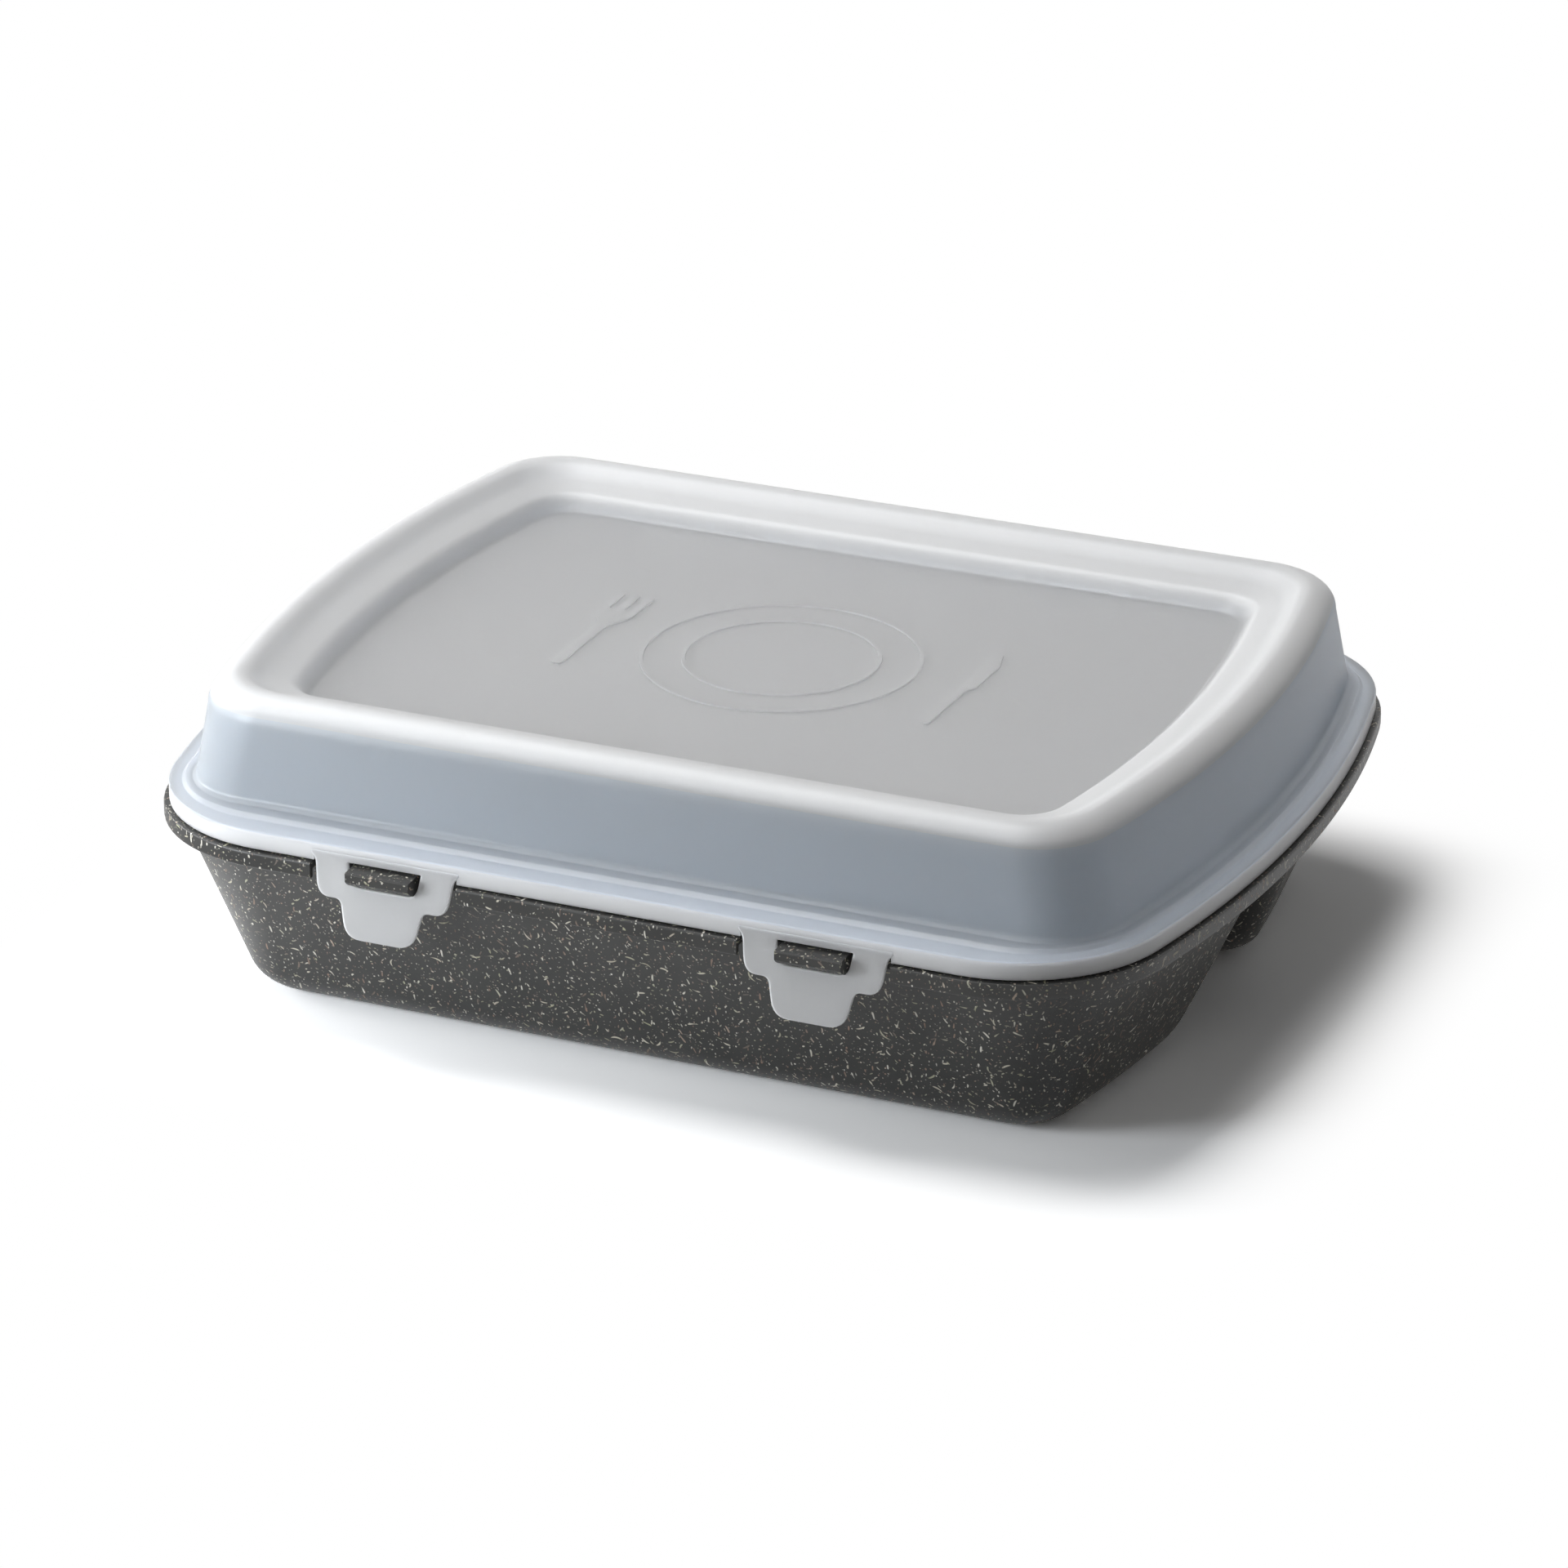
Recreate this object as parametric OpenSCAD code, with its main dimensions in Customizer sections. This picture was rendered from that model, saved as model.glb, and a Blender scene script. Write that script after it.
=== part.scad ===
// Reusable meal container: a two-compartment tray and a lid that hooks on with four tabs.
// Millimetres, +Z up. The origin is the centre of the footprint, on the table.
// The long sides are straight and face the front (-Y) and the back (+Y); the short sides are bowed.

/* [Overall] */
// Width of the lid over its bowed short sides
lid_w = 236; // [200:1:280]
// Depth of the lid between its straight long sides
lid_d = 186.8; // [160:0.2:230]
// Height of the seat that the lid's lip rests over
tray_h = 43; // [34:0.5:70]
// Radius of the bowed short sides at the lid's edge
side_bow_r = 320; // [260:5:600]
// Corner radius at the lid's edge
corner_r = 33.4; // [28:0.2:44]

/* [Tray] */
// Thickness of the tray's wall and floor
tray_wall = 1.8; // [1.4:0.1:2.4]
// Draft of the tray's walls, in degrees from upright
tray_draft = 22.3; // [14:0.1:26]
// Rounding where the wall turns into the foot
foot_r = 11; // [7:0.5:14]
// Corner radius at the top of the tray's wall
wall_corner_r = 28; // [22:0.5:34]
// Corner radius of the foot, where its rounding starts
foot_corner_r = 13; // [11:0.5:20]
// How far the wall stands in from the lid's edge, at its top
wall_inset = 3.5; // [3.2:0.1:5]

/* [Rim] */
// How far the rim shows outside the lid's edge
rim_reach = 1.2; // [0.6:0.1:2.5]
// Thickness of the rim's flange
rim_t = 1.6; // [1.2:0.1:2]
// Height of the rim's turned-down skirt
skirt_h = 3.5; // [2.8:0.1:5]
// Thickness of the skirt
skirt_t = 1.2; // [0.9:0.1:1.5]
// How far the sealing rib stands in from the lid's edge
rib_inset = 3.3; // [3.1:0.1:4]
// Width of the sealing rib
rib_w = 1.8; // [1.4:0.1:2.2]
// Height of the sealing rib above the flange
rib_h = 2.5; // [1.5:0.1:2.7]

/* [Divider] */
// Height of the channel's roof under the divider
channel_h = 32; // [20:0.5:34]
// Width of the channel at its roof
channel_w = 16; // [10:0.5:24]
// Draft of the divider's sides, in degrees from upright
divider_draft = 15; // [8:0.5:20]
// Rounding of the compartments' corners beside the divider
pod_corner_r = 9; // [5:0.5:14]
// Rounding along the divider's top edges
divider_edge_r = 2; // [1:0.5:3]

/* [Lid] */
// Thickness of the lid
lid_t = 1.2; // [0.9:0.1:1.5]
// Height of the lid's turned-down lip, with the ledge's thickness
lip_h = 4; // [3.6:0.1:5]
// Width of the ledge at the middle of the short sides
ledge_side = 6.2; // [5:0.1:9]
// Width of the ledge along the long sides
ledge_long = 10.8; // [8:0.1:14]
// Height of the raised bead beside the lid's wall
bead_h = 0.8; // [0.4:0.1:1.2]
// Height of the crest above the lid's lower edge
crest_h = 27.5; // [22:0.5:45]
// Rounding of the crest's outer shoulder
shoulder_r = 6; // [4:0.5:8]
// Draft of the lid's wall on the short sides, in degrees
lid_draft_side = 11; // [6:0.5:16]
// Draft of the lid's wall on the long sides, in degrees
lid_draft_long = 2.5; // [1:0.5:8]
// Corner radius of the lid's wall
lid_corner_r = 17; // [13:0.5:22]
// How far the top panel lies below the crest
panel_drop = 7.2; // [4:0.2:9]
// Width of the sloping band between the crest and the panel
band_w = 14.5; // [11:0.5:18]
// Corner radius of the top panel
panel_corner_r = 8; // [6:0.5:12]

/* [Tabs] */
// Distance between the centres of the two tabs on a side
tab_pitch = 96; // [70:1:120]
// Width of a tab at its hinge
tab_w = 31.4; // [26:0.2:38]
// Length of a tab, from its hinge to its tip
tab_l = 17.1; // [15:0.1:22]
// Length of a tab's shoulders, from its hinge
tab_shoulder_l = 9.1; // [8.4:0.1:11]
// Width of a tab's grip, below the shoulders
grip_w = 18.8; // [15:0.2:22]
// Thickness of a tab
tab_t = 1.2; // [0.9:0.1:1.3]
// Tilt of a hooked tab, in degrees out from upright
tab_tilt = 13; // [8:0.5:16]
// Width of a tab's slot at its top
slot_w = 16.8; // [14:0.2:20]
// Rounding of a tab's outer corners
tab_round = 2.6; // [1.5:0.1:3.2]
// Radius of the bead along a tab's hinge line
hinge_r = 0.7; // [0.6:0.05:0.75]

/* [Lugs] */
// Width of a lug
lug_w = 14.5; // [10:0.5:15]
// How far a lug's ridge stands out from the lid's edge
lug_reach = 4; // [2.5:0.1:4.3]

/* [Clearances] */
// Gap between the lid's lip and the tray's rim
seat_gap = 0.35; // [0.3:0.05:0.5]
// Gap round a tab's hinge bead, and at a tab's ends
hinge_gap = 0.3; // [0.25:0.05:0.4]
// Gap between a lug and the slot that it fills
lug_gap = 0.35; // [0.3:0.05:0.5]

/* [Hidden] */

// Segments in half of a bowed side, in a corner, and in a rounded edge seen in section
bow_steps = 4;
corner_steps = 6;
section_steps = 5;
flare_steps = 6;
// How far a cutter or a root runs past the face that it passes
over = 1;
// A flare stops this many degrees short of running along the wall, so that it crosses the wall's facets
flare_short = 9;

half_w = lid_w / 2;
half_d = lid_d / 2;
// Where a tall wall has its one level between foot and top, as a share of its height
middle_share = 0.6;
function mix(a, b, t) = a + (b - a) * t;

// Rim, in heights above the table and insets from the lid's edge
edge_r = 0.5;
skirt_edge_r = 0.4;
skirt_inner_r = 0.3;
rim_fillet = 0.6;
rim_top = tray_h - seat_gap;
rim_under = rim_top - rim_t;
skirt_bottom = rim_top - skirt_h;
wall_top = skirt_bottom - rim_fillet;
rib_top = rim_top + rib_h;
rib_inner = rib_inset + rib_w;
skirt_inset = skirt_t - rim_reach;
rib_draft = 0.1;

// Tray wall: an outer line with the draft, and its inner face one wall further in
wall_across = tray_wall / cos(tray_draft);
function wall_line(z) = wall_inset + (wall_top - z) * tan(tray_draft);
foot_tangent_z = foot_r * (1 - sin(tray_draft));
foot_centre = wall_line(foot_tangent_z) + foot_r * cos(tray_draft);
function wall_corner(z) = let (t = (wall_top - z) / (wall_top - foot_tangent_z))
    wall_corner_r + (foot_corner_r - wall_corner_r) * min(max(t, 0), 1);

// A hinge line lies inside the lip; a tab turns about it, both at the front and at the back
hinge_out = 0.25;
hinge_in = hinge_r - hinge_out;
hinge_z = tray_h + lip_h - lid_t - hinge_r - 0.1;
hinge_clear_r = hinge_r + hinge_gap + 0.05;
slot_top_bar = 0.55;
slot_low_bar = 2.9;
slot_top = hinge_r + slot_top_bar;
slot_end = tab_shoulder_l - slot_low_bar;
slot_corner_r = 1.6;
slot_taper = 0.8;
notch_w = tab_w + 2 * hinge_gap;
rim_notch_w = tab_w + 2;
rim_notch_in = hinge_in + 0.8;
lid_notch_in = lid_t + 0.15;

// A ring is one closed outline: half width, half depth, radius of the bowed side, corner radius.
// The corner arcs are tangent to the bowed sides and to the straight long sides.
function bow_centre(hw, bow) = hw - bow;
function corner_x(hw, hd, bow, cr) = bow_centre(hw, bow) + sqrt(pow(bow - cr, 2) - pow(hd - cr, 2));
function corner_start(hw, hd, bow, cr) =
    atan2(hd - cr, corner_x(hw, hd, bow, cr) - bow_centre(hw, bow));
function half_ring(hw, hd, bow, cr) =
    let (a = corner_start(hw, hd, bow, cr), cx = corner_x(hw, hd, bow, cr), cy = hd - cr)
    concat(
        [for (i = [-bow_steps:bow_steps]) let (b = a * i / bow_steps)
            [bow_centre(hw, bow) + bow * cos(b), bow * sin(b)]],
        [for (i = [1:corner_steps]) let (b = a + (90 - a) * i / corner_steps)
            [cx + cr * cos(b), cy + cr * sin(b)]],
        [for (i = [0:corner_steps - 1]) let (b = 90 + (90 - a) * i / corner_steps)
            [-cx + cr * cos(b), cy + cr * sin(b)]]
    );

// A station is [inset on the short sides, inset on the long sides, height, corner radius]
function ring(st) =
    let (h = half_ring(half_w - st[0], half_d - st[1], side_bow_r - st[0], st[3]))
    concat([for (p = h) [p[0], p[1], st[2]]], [for (p = h) [-p[0], -p[1], st[2]]]);

// A loft joins the rings in order and closes the first and the last with a flat face
module loft(rings) {
    n = len(rings[0]);
    last = len(rings) - 1;
    polyhedron(
        points = [for (r = rings) each r],
        faces = concat(
            [[for (i = [0:n - 1]) i]],
            [for (k = [0:last - 1], i = [0:n - 1]) let (j = (i + 1) % n)
                each [[k * n + i, (k + 1) * n + j, k * n + j],
                      [k * n + i, (k + 1) * n + i, (k + 1) * n + j]]],
            [[for (i = [n - 1:-1:0]) last * n + i]]
        ),
        convexity = 8
    );
}

// Section of the tray from the foot up the outside, over the rim and down the inside to the floor
function foot_arc(r) = [for (i = [section_steps:-1:0])
    let (a = tray_draft + (90 - tray_draft) * i / section_steps)
    [foot_centre - r * cos(a), foot_r - r * sin(a), i / section_steps]];
function foot_stations(r, corner_cut) = [for (p = foot_arc(r))
    [p[0], p[0], p[1], max(foot_corner_r - corner_cut - p[2] * foot_r * 0.5, 3)]];
function wall_stations(across, heights) = [for (z = heights)
    [wall_line(z) + across, wall_line(z) + across, z, wall_corner(z) - across]];
function level(inset, z) = [inset, inset, z, corner_r - inset];
function reversed(v) = [for (i = [len(v) - 1:-1:0]) v[i]];

tray_outside = concat(
    foot_stations(foot_r, 0),
    wall_stations(0, [wall_top * middle_share, wall_top])
);
tray_rim = [
    level(wall_line(rim_under - 1), rim_under - 1),
    level(wall_line(rim_under) - rim_fillet * 0.5, rim_under - rim_fillet * 0.4),
    level(wall_line(rim_under) - rim_fillet * 1.2, rim_under),
    level(skirt_inset + skirt_inner_r, rim_under),
    level(skirt_inset, rim_under - skirt_inner_r),
    level(skirt_inset, skirt_bottom + skirt_edge_r * 0.5),
    level(skirt_inset - skirt_edge_r * 0.5, skirt_bottom),
    level(skirt_edge_r - rim_reach, skirt_bottom),
    level(-rim_reach, skirt_bottom + skirt_edge_r),
    level(-rim_reach, rim_top - edge_r),
    level(edge_r * 0.3 - rim_reach, rim_top - edge_r * 0.3),
    level(edge_r - rim_reach, rim_top),
    level(rib_inset, rim_top),
    level(rib_inset + rib_draft, rib_top - edge_r),
    level(rib_inset + edge_r, rib_top),
    level(rib_inner - edge_r, rib_top),
    level(rib_inner, rib_top - edge_r),
    level(wall_line(wall_top) + wall_across - rib_draft, wall_top + 1)
];
tray_inside = concat(
    wall_stations(wall_across, [wall_top, wall_top * middle_share]),
    reversed(foot_stations(foot_r - tray_wall, tray_wall))
);

module tray_shell() {
    loft([for (st = concat(tray_outside, tray_rim, tray_inside)) ring(st)]);
}

// The divider and the channel under it are strips along X that flare where they meet the end walls.
// At each height a flare is an arc that touches the strip's side and turns until it runs along the bowed
// wall; from there the strip goes on through the wall and ends along the same bow.
// Its end has points at these shares of the angle that the flare reaches on the bow.
end_shares = [1, 0.6, 0.2];
// c is the strip's half width, wall_x the wall's place on the X axis and beyond the way past its face.
function flare(c, wall_x, r, beyond) =
    let (bow = side_bow_r - half_w + wall_x, bow_x = wall_x - bow,
         turn_x = bow_x + sqrt(pow(bow - r, 2) - pow(c + r, 2)),
         stop = atan2(c + r, turn_x - bow_x) - flare_short,
         touch = [turn_x + r * cos(stop), c + r + r * sin(stop)],
         along = atan2(touch[1], touch[0] - bow_x))
    concat(
        [[0, c]],
        [for (i = [0:flare_steps]) let (a = mix(-90, stop, i / flare_steps))
            [turn_x + r * cos(a), c + r + r * sin(a)]],
        [for (share = end_shares)
            [bow_x + (bow + beyond) * cos(along * share), (bow + beyond) * sin(along * share)]]
    );
function strip_ring(c, wall_x, r, beyond, z) =
    let (q = flare(c, wall_x, r, beyond), m = len(q) - 1)
    concat(
        [for (i = [m:-1:0]) [-q[i][0], -q[i][1], z]],
        [for (i = [1:m]) [q[i][0], -q[i][1], z]],
        [for (i = [m:-1:0]) [q[i][0], q[i][1], z]],
        [for (i = [1:m]) [-q[i][0], q[i][1], z]]
    );
// The strip's end faces aren't convex, so they are made of one quadrilateral for each pair of points
module strip(rings) {
    n = len(rings[0]);
    half = n / 2;
    last = len(rings) - 1;
    polyhedron(
        points = [for (r = rings) each r],
        faces = concat(
            [for (i = [0:half - 2]) each
                [[i, i + 1, n - 2 - i], [i, n - 2 - i, n - 1 - i]]],
            [for (k = [0:last - 1], i = [0:n - 1]) let (j = (i + 1) % n)
                each [[k * n + i, (k + 1) * n + j, k * n + j],
                      [k * n + i, (k + 1) * n + i, (k + 1) * n + j]]],
            [for (i = [0:half - 2]) let (o = last * n) each
                [[o + i, o + n - 2 - i, o + i + 1], [o + i, o + n - 1 - i, o + n - 2 - i]]]
        ),
        convexity = 6
    );
}

// Where the tray's end wall stands at a height, on its outer face, with its foot rounding
function foot_curve(r, z) = z >= foot_r ? r : sqrt(max(r * r - pow(foot_r - z, 2), 0));
function end_wall_x(z, r, across) = half_w - (z > foot_tangent_z
    ? wall_line(z) + across
    : foot_centre - foot_curve(r, z));

// A foot's lowest level is taken a little above its tangent point, where its slope isn't yet flat
nearly = 0.999;
edge_steps = 3;
// How much of the end wall's thickness the divider's ends reach into
root_share = 0.4;
roof_edge_h = 1.5;
roof_edge_w = 1;
divider_top = channel_h + tray_wall;
divider_across = tray_wall / cos(divider_draft);
function side_line(z) = channel_w / 2 + (channel_h - z) * tan(divider_draft);
// The sides of both compartments turn into the foot with the same rounding as the outer walls
function side_round(r, z) = z >= foot_r ? 0 : r - foot_curve(r, z);
function divider_half(z) = side_line(z) + divider_across + side_round(foot_r - tray_wall, z)
    - (z > divider_top - divider_edge_r
        ? divider_edge_r - sqrt(max(pow(divider_edge_r, 2) - pow(z - divider_top + divider_edge_r, 2), 0))
        : 0);
module divider() {
    inner = foot_r - tray_wall;
    low = tray_wall * middle_share;
    foot_levels = [for (i = [0:section_steps])
        foot_r - inner * cos(90 * i / section_steps) * (i == 0 ? nearly : 1)];
    edge_levels = [for (i = [0:edge_steps]) divider_top - divider_edge_r * (1 - sin(90 * i / edge_steps))];
    function level_ring(z, at_z) = strip_ring(divider_half(z), end_wall_x(z, inner, wall_across),
        pod_corner_r - tray_wall, wall_across * root_share, at_z);
    strip(concat(
        [level_ring(foot_levels[0], low)],
        [for (z = concat(foot_levels, [divider_top * middle_share], edge_levels)) level_ring(z, z)]
    ));
}

module channel() {
    levels = concat(
        [for (i = [0:section_steps]) foot_r * (1 - cos(90 * i / section_steps) * nearly)],
        [channel_h * middle_share, channel_h - roof_edge_h, channel_h]
    );
    function half(z) = side_line(z) + side_round(foot_r, z) - (z == channel_h ? roof_edge_w : 0);
    function level_ring(z, at_z) = strip_ring(half(z), end_wall_x(z, foot_r, 0), pod_corner_r, over * 4, at_z);
    strip(concat([level_ring(levels[0], -over)], [for (z = levels) level_ring(z, z)]));
}

// Everything about a tab or lug is drawn at the front, about the middle of the tab
module at_tabs(side) {
    rotate(side == "front" ? 0 : 180)
        for (x = [-tab_pitch / 2, tab_pitch / 2])
            translate([x, -half_d, 0]) children();
}
module at_one_tab(side, x) {
    rotate(side == "front" ? 0 : 180) translate([side == "front" ? x : -x, -half_d, 0]) children();
}
// A profile drawn as [distance out from the lid's edge, height], extruded along X
module along_x(width) {
    rotate([90, 0, 90]) translate([0, 0, -width / 2]) linear_extrude(width) mirror([1, 0, 0]) children();
}

// A slot's far edge turns about the hinge line, so a lug is turned about it too, one gap inside the slot:
// distance from the hinge line, and place along it, with the slot's round corners
lug_sweep = slot_end - lug_gap;
lug_corner_r = slot_corner_r + 0.1;
lug_ridge_r = 0.3;
lug_root = rib_inset + 0.35;
module lug_turned() {
    corner = [lug_sweep - lug_corner_r, lug_w / 2 - lug_corner_r];
    arc = [for (i = [0:section_steps]) let (a = 90 * i / section_steps)
        corner + lug_corner_r * [sin(a), cos(a)]];
    rotate_extrude($fn = 96)
        polygon(concat(
            [[0, lug_w / 2]],
            arc,
            [for (p = reversed(arc)) [p[0], -p[1]]],
            [[0, -lug_w / 2]]
        ));
}
module lug() {
    top = hinge_z - slot_top - lug_gap - 0.1;
    bottom = hinge_z - lug_sweep;
    intersection() {
        along_x(lug_w)
            polygon([
                [-lug_root, top], [0, top],
                [lug_reach - lug_ridge_r, top - lug_ridge_r / 2], [lug_reach, top - lug_ridge_r * 1.5],
                [lug_reach, bottom], [-lug_root, bottom]
            ]);
        translate([0, hinge_in, hinge_z]) rotate([0, 90, 0]) lug_turned();
    }
}
module rim_notch() {
    translate([-rim_notch_w / 2, -rim_reach - over, skirt_bottom - over])
        cube([rim_notch_w, rim_reach + over + rim_notch_in, skirt_h + 2 * over]);
}

module base_tray() {
    color([0.25, 0.25, 0.26]) {
        difference() {
            union() {
                tray_shell();
                divider();
            }
            channel();
            at_tabs("front") rim_notch();
            at_tabs("rear") rim_notch();
        }
        at_tabs("front") lug();
        at_tabs("rear") lug();
    }
}

// Section of the lid's outside, from the lip's lower edge up to the panel.
// Each point is [inset on the short sides, inset on the long sides, height above the lip, corner radius].
function ledge(t, z) = [mix(lid_t, ledge_side, t), mix(lid_t, ledge_long, t), z, mix(corner_r - lid_t, lid_corner_r, t)];
shoulder_z = crest_h - shoulder_r;
band_side_share = 0.96;
wall_base_z = lip_h + bead_h + 1.2;
function lid_wall(z) = [
    ledge_side + (z - lip_h) * tan(lid_draft_side),
    ledge_long + (z - lip_h) * tan(lid_draft_long),
    z,
    lid_corner_r
];
shoulder_foot = lid_wall(shoulder_z);
function shoulder(a) = [
    shoulder_foot[0] + shoulder_r * (1 - cos(a)),
    shoulder_foot[1] + shoulder_r * (1 - cos(a)),
    shoulder_z + shoulder_r * sin(a),
    mix(lid_corner_r, lid_corner_r - shoulder_r * 0.5, 1 - cos(a))
];
crest = shoulder(90);
// Across the band, t runs from the crest to the panel's edge and fall from 0 to 1 of the panel's drop
function band(t, fall) = [
    crest[0] + band_w * band_side_share * t,
    crest[1] + band_w * t,
    crest_h - panel_drop * fall,
    mix(crest[3], panel_corner_r, t)
];

lip_edge_r = 0.8;
lip_edge_cut = lip_edge_r * 0.3;
lid_outside = concat(
    [[0, 0, 0, corner_r],
     [0, 0, lip_h - lip_edge_r, corner_r],
     [lip_edge_cut, lip_edge_cut, lip_h - lip_edge_cut, corner_r - lip_edge_cut],
     [lip_edge_r, lip_edge_r, lip_h, corner_r - lip_edge_r]],
    [ledge(0.46, lip_h),
     ledge(0.56, lip_h + bead_h * 0.35),
     ledge(0.64, lip_h + bead_h * 0.9),
     ledge(0.74, lip_h + bead_h),
     ledge(0.88, lip_h + bead_h),
     ledge(0.97, lip_h + bead_h * 1.5)],
    [lid_wall(wall_base_z), lid_wall(mix(wall_base_z, shoulder_z, 0.5))],
    [for (i = [0:section_steps]) shoulder(90 * i / section_steps)],
    [band(0.08, 0.03),
     band(0.17, 0.12),
     band(0.29, 0.27),
     band(0.40, 0.34),
     band(0.72, 0.54),
     band(0.78, 0.62),
     band(0.94, 0.93),
     band(1, 1)]
);
// The inside lies one thickness in along the section's normal
function normal_in(v, i) =
    let (a = v[max(i - 1, 0)], b = v[min(i + 1, len(v) - 1)],
         u = (b[0] + b[1] - a[0] - a[1]) / 2, w = b[2] - a[2], l = norm([u, w]))
    [w / l, -u / l];
lid_inside = concat(
    [[lid_t, lid_t, 0, corner_r - lid_t],
     [lid_t, lid_t, lip_h - lid_t, corner_r - lid_t]],
    [for (i = [4:len(lid_outside) - 2]) let (n = normal_in(lid_outside, i), p = lid_outside[i])
        [p[0] + lid_t * n[0], p[1] + lid_t * n[0], p[2] + lid_t * n[1], p[3] - lid_t * n[0]]],
    [band(1, 1) + [lid_t / 4, lid_t / 4, -lid_t, 0]]
);

module lid_notch() {
    translate([0, hinge_in, hinge_z])
        rotate([0, 90, 0]) cylinder(h = notch_w, r = hinge_clear_r, center = true, $fn = 48);
    translate([-notch_w / 2, -over, tray_h - over])
        cube([notch_w, over + lid_notch_in, hinge_z - tray_h + over]);
}

module lid() {
    color([0.86, 0.88, 0.9, 0.75])
        difference() {
            translate([0, 0, tray_h])
                loft([for (st = concat(reversed(lid_inside), lid_outside)) ring(st)]);
            at_tabs("front") lid_notch();
            at_tabs("rear") lid_notch();
        }
}

// A tab's outline: X across, and Y down from the hinge line
module tab_outline() {
    shoulder_w = tab_w - 2;
    tip_w = grip_w - 3.6;
    past = 0.3;
    difference() {
        intersection() {
            offset(r = -1) offset(delta = 1)
                offset(r = tab_round, $fn = 32) offset(delta = -tab_round)
                    polygon([
                        [-tab_w / 2 - past, -tab_round * 2], [tab_w / 2 + past, -tab_round * 2],
                        [tab_w / 2, 0], [shoulder_w / 2, tab_shoulder_l], [grip_w / 2, tab_shoulder_l],
                        [tip_w / 2, tab_l], [-tip_w / 2, tab_l], [-grip_w / 2, tab_shoulder_l],
                        [-shoulder_w / 2, tab_shoulder_l], [-tab_w / 2, 0]
                    ]);
            translate([-tab_w / 2, 0]) square([tab_w, tab_l + over]);
        }
        slot_outline();
    }
}
module slot_outline() {
    lower_half = slot_w / 2 - slot_taper;
    corner_v = slot_end - slot_corner_r;
    hull() {
        polygon([[-slot_w / 2, slot_top], [slot_w / 2, slot_top], [lower_half, corner_v], [-lower_half, corner_v]]);
        for (x = [-1, 1])
            translate([x * (lower_half - slot_corner_r), corner_v]) circle(slot_corner_r, $fn = 24);
    }
}
module tab() {
    color([0.9, 0.91, 0.93, 0.8])
        translate([0, hinge_in, hinge_z]) {
            rotate([-90 - tab_tilt, 0, 0])
                translate([0, 0, -tab_t / 2]) linear_extrude(tab_t) tab_outline();
            rotate([0, 90, 0]) cylinder(h = tab_w, r = hinge_r, center = true, $fn = 48);
        }
}

module front_left_tab() { at_one_tab("front", -tab_pitch / 2) tab(); }
module front_right_tab() { at_one_tab("front", tab_pitch / 2) tab(); }
module rear_left_tab() { at_one_tab("rear", -tab_pitch / 2) tab(); }
module rear_right_tab() { at_one_tab("rear", tab_pitch / 2) tab(); }

base_tray();
lid();
front_left_tab();
front_right_tab();
rear_left_tab();
rear_right_tab();
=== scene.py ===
"""Looks of the reusable meal container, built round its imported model."""

import math

import bmesh
import bpy
from mathutils import Matrix, Vector
from mathutils.kdtree import KDTree


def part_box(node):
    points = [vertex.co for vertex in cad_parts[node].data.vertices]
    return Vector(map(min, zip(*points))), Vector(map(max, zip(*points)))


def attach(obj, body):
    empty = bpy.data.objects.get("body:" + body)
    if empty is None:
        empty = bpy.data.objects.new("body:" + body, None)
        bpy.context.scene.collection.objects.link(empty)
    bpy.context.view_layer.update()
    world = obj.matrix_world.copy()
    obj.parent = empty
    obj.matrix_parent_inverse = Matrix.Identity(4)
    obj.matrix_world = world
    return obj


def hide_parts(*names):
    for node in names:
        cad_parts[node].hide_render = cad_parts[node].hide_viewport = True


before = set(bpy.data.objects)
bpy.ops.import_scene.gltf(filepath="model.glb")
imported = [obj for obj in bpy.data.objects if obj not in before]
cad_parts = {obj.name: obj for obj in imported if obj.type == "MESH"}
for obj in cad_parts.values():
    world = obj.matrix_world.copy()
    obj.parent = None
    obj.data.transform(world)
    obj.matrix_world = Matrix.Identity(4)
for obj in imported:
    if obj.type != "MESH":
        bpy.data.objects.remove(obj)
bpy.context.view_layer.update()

# Every size below is in millimetres, and MM turns it into metres. Angles are in radians
MM = 0.001
FULL_TURN = 2 * math.pi

# Main sizes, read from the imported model
lid_low, lid_high = (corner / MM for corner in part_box("lid"))
half_w = lid_high.x
half_d = lid_high.y
tray_h = lid_low.z
crest_h = lid_high.z - lid_low.z

# Outline of the lid's edge
side_bow_r = 320
corner_r = 33.4
BOW_STEPS = 24
CORNER_STEPS = 16

# Tray wall and foot
tray_wall = 1.8
tray_draft = math.radians(22.3)
foot_r = 11
wall_corner_r = 28
foot_corner_r = 13
wall_inset = 3.5
ARC_STEPS = 12

# Rim of the tray
seat_gap = 0.35
rim_reach = 1.2
rim_t = 1.6
skirt_h = 3.5
skirt_t = 1.2
rib_inset = 3.3
rib_w = 1.8
rib_h = 2.5
rim_top = tray_h - seat_gap
rim_under = rim_top - rim_t
skirt_bottom = rim_top - skirt_h
wall_top = skirt_bottom - 0.6

# Divider between the compartments, and the channel under it
channel_h = 32
channel_w = 16
divider_draft = math.radians(15)
pod_corner_r = 9
divider_edge_r = 2
channel_edge_r = 1.5
CHANNEL_EDGE_STEPS = 4
flare_short = math.radians(4)

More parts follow.
